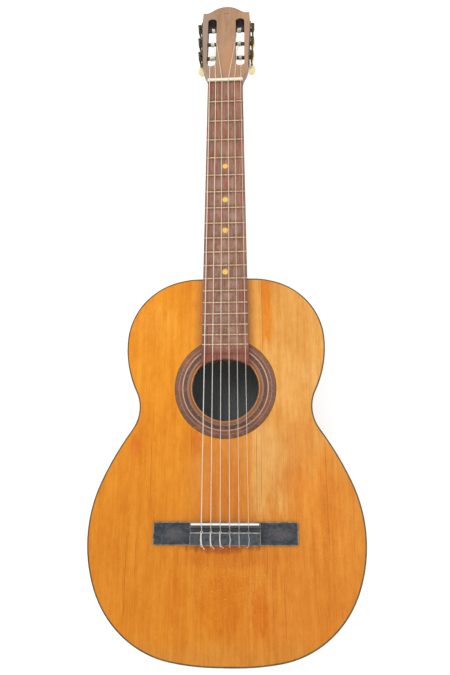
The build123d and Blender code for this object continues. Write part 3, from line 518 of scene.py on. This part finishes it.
MAHOGANY = (rgb(132, 72, 42), rgb(80, 40, 25), rgb(44, 22, 16))
MATERIALS = {
    "top": spruce_top(),
    "rosette": rosette_rings(),
    "binding": streaked_wood("binding_strip", rgb(116, 96, 54), rgb(88, 70, 38), rgb(54, 42, 26),
                             (0.5, 0.5, 0.5)),
    "ribs": streaked_wood("rib_wood", *MAHOGANY, (0.05, 0.05, 1.0), 0.32, sheen=0.25, wavy=0.3),
    "back": streaked_wood("back_wood", *MAHOGANY, (1.0, 0.03, 1.0), 0.32, sheen=0.25, wavy=0.3,
                          place=dusty_inside),
    "inner": streaked_wood("bare_wood", rgb(214, 180, 132), rgb(190, 152, 104), rgb(150, 112, 72),
                           (0.4, 0.4, 0.4), 0.7),
    "neck": streaked_wood("neck_wood", rgb(146, 88, 56), rgb(112, 62, 40), rgb(72, 38, 26),
                          (1.0, 0.035, 1.0), 0.38),
    # the headstock, with its slot walls in painted shade
    "head": streaked_wood("head_wood", rgb(152, 108, 82), rgb(118, 80, 60), rgb(82, 50, 36),
                          (1.0, 0.035, 1.0), 0.42, place=slot_walls_in_painted_shade),
    "veneer": streaked_wood("head_veneer_wood", rgb(184, 143, 109), rgb(163, 122, 92), rgb(132, 94, 70),
                            (0.5, 0.02, 0.3), 0.46, 0.3, sheen=0.2, place=worn_face_and_slot_shade),
    "fretboard": fretboard_wood(),
    "bridge": bridge_wood(),
    "frets": metal("fret_wire", rgb(226, 200, 166), rgb(190, 162, 128), rgb(128, 100, 74), 0.3),
    "tuner": metal("tuner_plate_metal", rgb(108, 110, 92), rgb(76, 78, 64), rgb(42, 42, 34), 0.36),
    "brass": metal("tuner_gear_brass", rgb(124, 108, 72), rgb(90, 78, 52), rgb(48, 42, 32), 0.36),
    "rollers": metal("roller_steel", rgb(92, 90, 86), rgb(62, 60, 58), rgb(36, 34, 32), 0.34),
    "bone": smooth_stuff("aged_bone", rgb(248, 242, 222), rgb(232, 220, 186), rgb(196, 176, 132),
                         0.3, (0.2, 0.2, 0.5)),
    "saddle": smooth_stuff("white_bone", rgb(255, 250, 246), rgb(244, 236, 228), rgb(214, 204, 190),
                           0.3, (0.2, 0.2, 0.5)),
    "strip": smooth_stuff("tie_strip", rgb(168, 168, 156), rgb(126, 124, 112), rgb(90, 84, 72),
                          0.4, (0.3, 0.3, 0.3)),
    "dots": smooth_stuff("pearl_dots", rgb(250, 212, 96), rgb(232, 178, 62), rgb(250, 232, 160),
                         0.25, (0.5, 0.5, 0.5)),
    "buttons": smooth_stuff("cream_buttons", rgb(250, 236, 188), rgb(238, 218, 152), rgb(216, 190, 120), 0.22,
                            (0.12, 0.12, 0.12)),
    "wire": wound_wire(),
    "nylon": nylon_line(),
}

DRESSES = {
    "top": ["soundboard"],
    "rosette": ["rosette"],
    "binding": ["top_binding", "back_binding", "heel_cap"],
    "ribs": ["rib_bass", "rib_treble"],
    "back": ["back"],
    "inner": ["neck_block", "tail_block", "top_linings", "back_linings", "harmonic_bars", "fan_struts",
              "back_braces"],
    "neck": ["neck"],
    "head": ["headstock"],
    "veneer": ["head_veneer"],
    "fretboard": ["fretboard"],
    "frets": ["frets"],
    "dots": ["position_dots"],
    "bone": ["nut"],
    "saddle": ["saddle"],
    "strip": ["tie_block_strip"],
    "bridge": ["bridge"],
    "wire": ["bass_strings", "winding_low_e", "winding_a", "winding_d"],
    "nylon": ["treble_strings", "winding_g", "winding_b", "winding_high_e"],
    "tuner": ["tuner_plate_bass", "tuner_plate_treble", "plate_screws",
              *["worm_" + name for name in STRING_NAMES]],
    "rollers": ["roller_" + name for name in STRING_NAMES],
    "brass": ["gear_" + name for name in STRING_NAMES],
    "buttons": ["button_" + name for name in STRING_NAMES],
}
for look, names in DRESSES.items():
    for name in names:
        nodes[name].data.materials.clear()
        nodes[name].data.materials.append(MATERIALS[look])


# Strings: tied at the bridge, over the saddle and nut, and wound on their rollers
HEAD_X = Vector((1, 0, 0))
HEAD_Y = Vector((0, math.cos(HEAD_TILT), -math.sin(HEAD_TILT)))
HEAD_Z = Vector((0, math.sin(HEAD_TILT), math.cos(HEAD_TILT)))


def on_head(x, y, z):
    """A place given in the head's own plane."""
    return HEAD_ORIGIN + HEAD_X * x + HEAD_Y * y + HEAD_Z * z


def eased(points, reach, steps=6):
    """A line whose corners are turned into short curves."""
    line = [points[0]]
    for before, corner, after in zip(points, points[1:], points[2:]):
        start = corner + (before - corner).normalized() * min(reach, (before - corner).length / 2)
        end = corner + (after - corner).normalized() * min(reach, (after - corner).length / 2)
        for step in range(steps + 1):
            share = step / steps
            line.append(start.lerp(corner, share).lerp(corner.lerp(end, share), share))
    return line + [points[-1]]


def tube(name, lines, radius, material, body):
    """Round rods along lines of points in millimetres, as one piece."""
    curve = bpy.data.curves.new(name, "CURVE")
    curve.dimensions = "3D"
    curve.bevel_depth = radius * MM
    curve.bevel_resolution = 4
    curve.use_fill_caps = True
    for line in lines:
        spline = curve.splines.new("POLY")
        spline.points.add(len(line) - 1)
        for point, place in zip(spline.points, line):
            point.co = (*(Vector(place) * MM), 1.0)
    curve.materials.append(material)
    piece = bpy.data.objects.new(name, curve)
    bpy.context.scene.collection.objects.link(piece)
    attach(piece, body)
    return piece


def tie(x, radius, bow, tail):
    """The loop behind and over the tie block, the turn round the string, and the loose tail."""
    top = TOP_Z + 9.0 + radius
    under = TOP_Z + 6.7 - 2 * radius
    return eased([
        Vector(place) for place in (
            (x, BRIDGE_BACK + 1.0, TOP_Z + 5.6),
            (x, BRIDGE_BACK - 1.0 - radius, TOP_Z + 5.8),
            (x - 0.3, BRIDGE_BACK - 0.6 - radius, top - 1.2),
            (x - 0.5, BRIDGE_BACK + 1.6, top + 0.05),
            (x + bow, (BRIDGE_BACK + TIE_FRONT) / 2, top + 0.1),
            (x - 0.7, TIE_FRONT - 0.9, top + 0.15),
            (x - 1.0 - radius, TIE_FRONT + 0.8, TOP_Z + 7.8),
            (x, TIE_FRONT + 1.4, under),
            (x + 1.0 + radius, TIE_FRONT + 0.9, TOP_Z + 7.9),
            (x + 0.6, TIE_FRONT - 1.0, top + 0.5),
            (x - 0.2, TIE_FRONT - 2.0, top + 2 * radius + 0.1),
            (x + bow + 2 * radius, (BRIDGE_BACK + TIE_FRONT) / 2 - 1.0, top + 0.15),
            (x + 0.4, BRIDGE_BACK + 1.2, top + 0.1),
            (x + tail[0] * 0.45, BRIDGE_BACK - 1.2, top - 0.4),
            (x + tail[0], BRIDGE_BACK - tail[1], top - 2.2),
        )
    ], 2.0)


def winding(number):
    """Turns round one roller, in line with the string that reaches it, with the end left standing."""
    side, d = ROLLER_PLACES[number]
    thick = STRING_THICK[number]
    out = HEAD_X * (side * math.cos(SIDE_TAPER)) - HEAD_Y * math.sin(SIDE_TAPER)
    up = HEAD_Z
    ahead = HEAD_Y * math.cos(SIDE_TAPER) + HEAD_X * (side * math.sin(SIDE_TAPER))
    side_half = 38.0 + (d - 94.4) * math.tan(SIDE_TAPER)
    axis = on_head(side * side_half, d, -ROLLER_DEEP)
    along = WRAP_X[number] - side_half
    step = (-1 if number in (0, 5) else 1) * thick * 1.02
    radius = ROLLER_RADIUS + thick / 2 + 0.03
    line = []
    for count in range(WRAP_TURNS * TURN_STEPS + 1):
        turn = count / TURN_STEPS
        angle = math.pi / 2 - turn * 2 * math.pi
        spoke = ahead * radius * math.cos(angle) + up * radius * math.sin(angle)
        line.append(axis + out * (along + step * turn) + spoke)
    last = line[-1] - line[-2]
    line += [line[-1] + last.normalized() * 1.0 + up * 0.1, line[-1] + last.normalized() * 2.0 + up * 0.4]
    return line


SADDLE_TOP = TOP_Z + 12.98
NUT_TOP = TOP_Z + 8.4
# Each tie's bow to the side, and how far its tail reaches to the side and back
TIES = [
    (-1.3, (3.6, 4.2)), (-1.0, (4.2, 3.8)), (-0.9, (3.9, 2.4)),
    (0.6, (0.4, 2.2)), (-0.3, (1.0, 2.0)), (0.5, (-3.2, 2.2)),
]
for number, name in enumerate(STRING_NAMES):
    radius = STRING_THICK[number] / 2
    place = number - 2.5
    side, d = ROLLER_PLACES[number]
    wound = number < 3
    look = MATERIALS["wire" if wound else "nylon"]
    bridge_x = place * BRIDGE_STEP
    route = [
        Vector((bridge_x, BRIDGE_BACK + 1.0, TOP_Z + 5.6)),
        Vector((bridge_x, TIE_FRONT + 1.2, TOP_Z + 5.6)),
        Vector((bridge_x, SADDLE_Y - 0.42 * (1.2 + radius), SADDLE_TOP + radius)),
        Vector((place * NUT_STEP, NUT_Y + 1.5, NUT_TOP + radius)),
        on_head(side * WRAP_X[number], d, ROLLER_RADIUS + radius - ROLLER_DEEP + 0.03),
    ]
    bow, tail = TIES[number]
    lines = [eased(route, 0.8), tie(bridge_x, radius, bow, tail)]
    string = tube(f"string_{name}", lines, radius, look, "guitar")
    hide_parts("bass_strings" if wound else "treble_strings")
    coil = tube(f"coil_{name}", [winding(number)], radius, look, f"post_{name}")
    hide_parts(f"winding_{name}")


# Floor, light and camera
def plain_floor():
    g = Graph("pale_floor", Emission_Color=(1, 1, 1, 1), Emission_Strength=0.62, Specular_IOR_Level=0.1)
    cloud = g.stretched(0.004, 0.004, 0.004, detail=3)
    return g.finish(g.mix(cloud, (0.58, 0.58, 0.58, 1), (0.64, 0.64, 0.64, 1)), 0.9)


FLOOR_HALF = 40.0
floor_mesh = bpy.data.meshes.new("floor")
corners = [(x * FLOOR_HALF, y * FLOOR_HALF, -0.0002) for x, y in ((-1, -1), (1, -1), (1, 1), (-1, 1))]
floor_mesh.from_pydata(corners, [], [(0, 1, 2, 3)])
floor_mesh.materials.append(plain_floor())
floor = bpy.data.objects.new("floor", floor_mesh)
bpy.context.scene.collection.objects.link(floor)

world = bpy.data.worlds.new("studio")
world.use_nodes = True
world.node_tree.nodes["Background"].inputs["Color"].default_value = (1.0, 1.0, 1.0, 1.0)
world.node_tree.nodes["Background"].inputs["Strength"].default_value = 0.865
bpy.context.scene.world = world


def softbox(name, place, aim, size, power):
    """A large square area light."""
    data = bpy.data.lights.new(name, "AREA")
    data.shape = "SQUARE"
    data.size = size
    data.energy = power
    light = bpy.data.objects.new(name, data)
    light.location = place
    light.rotation_euler = (Vector(aim) - Vector(place)).to_track_quat("-Z", "Y").to_euler()
    bpy.context.scene.collection.objects.link(light)


softbox("key", (-1.1, 0.9, 1.9), (0, 0.15, 0), 1.6, 14)
softbox("fill", (1.5, -0.6, 1.7), (0, 0.15, 0), 1.8, 5)

CAMERA_LENS = 30.24
camera_data = bpy.data.cameras.new("camera")
camera_data.lens = CAMERA_LENS
camera_data.sensor_width = 36.0
camera_data.clip_start = 0.01
camera = bpy.data.objects.new("camera", camera_data)
CAMERA_PLACE = (0.0377, -0.0467, 0.84)
CAMERA_AXES = ((0.99868, 0.00017, -0.05123), (0.01348, 0.96385, 0.26608), (0.04942, -0.26642, 0.96259))
turned = Matrix(CAMERA_AXES).transposed().to_4x4()
camera.matrix_world = Matrix.Translation(CAMERA_PLACE) @ turned
bpy.context.scene.collection.objects.link(camera)
bpy.context.scene.camera = camera
bpy.context.scene.view_settings.view_transform = "Standard"
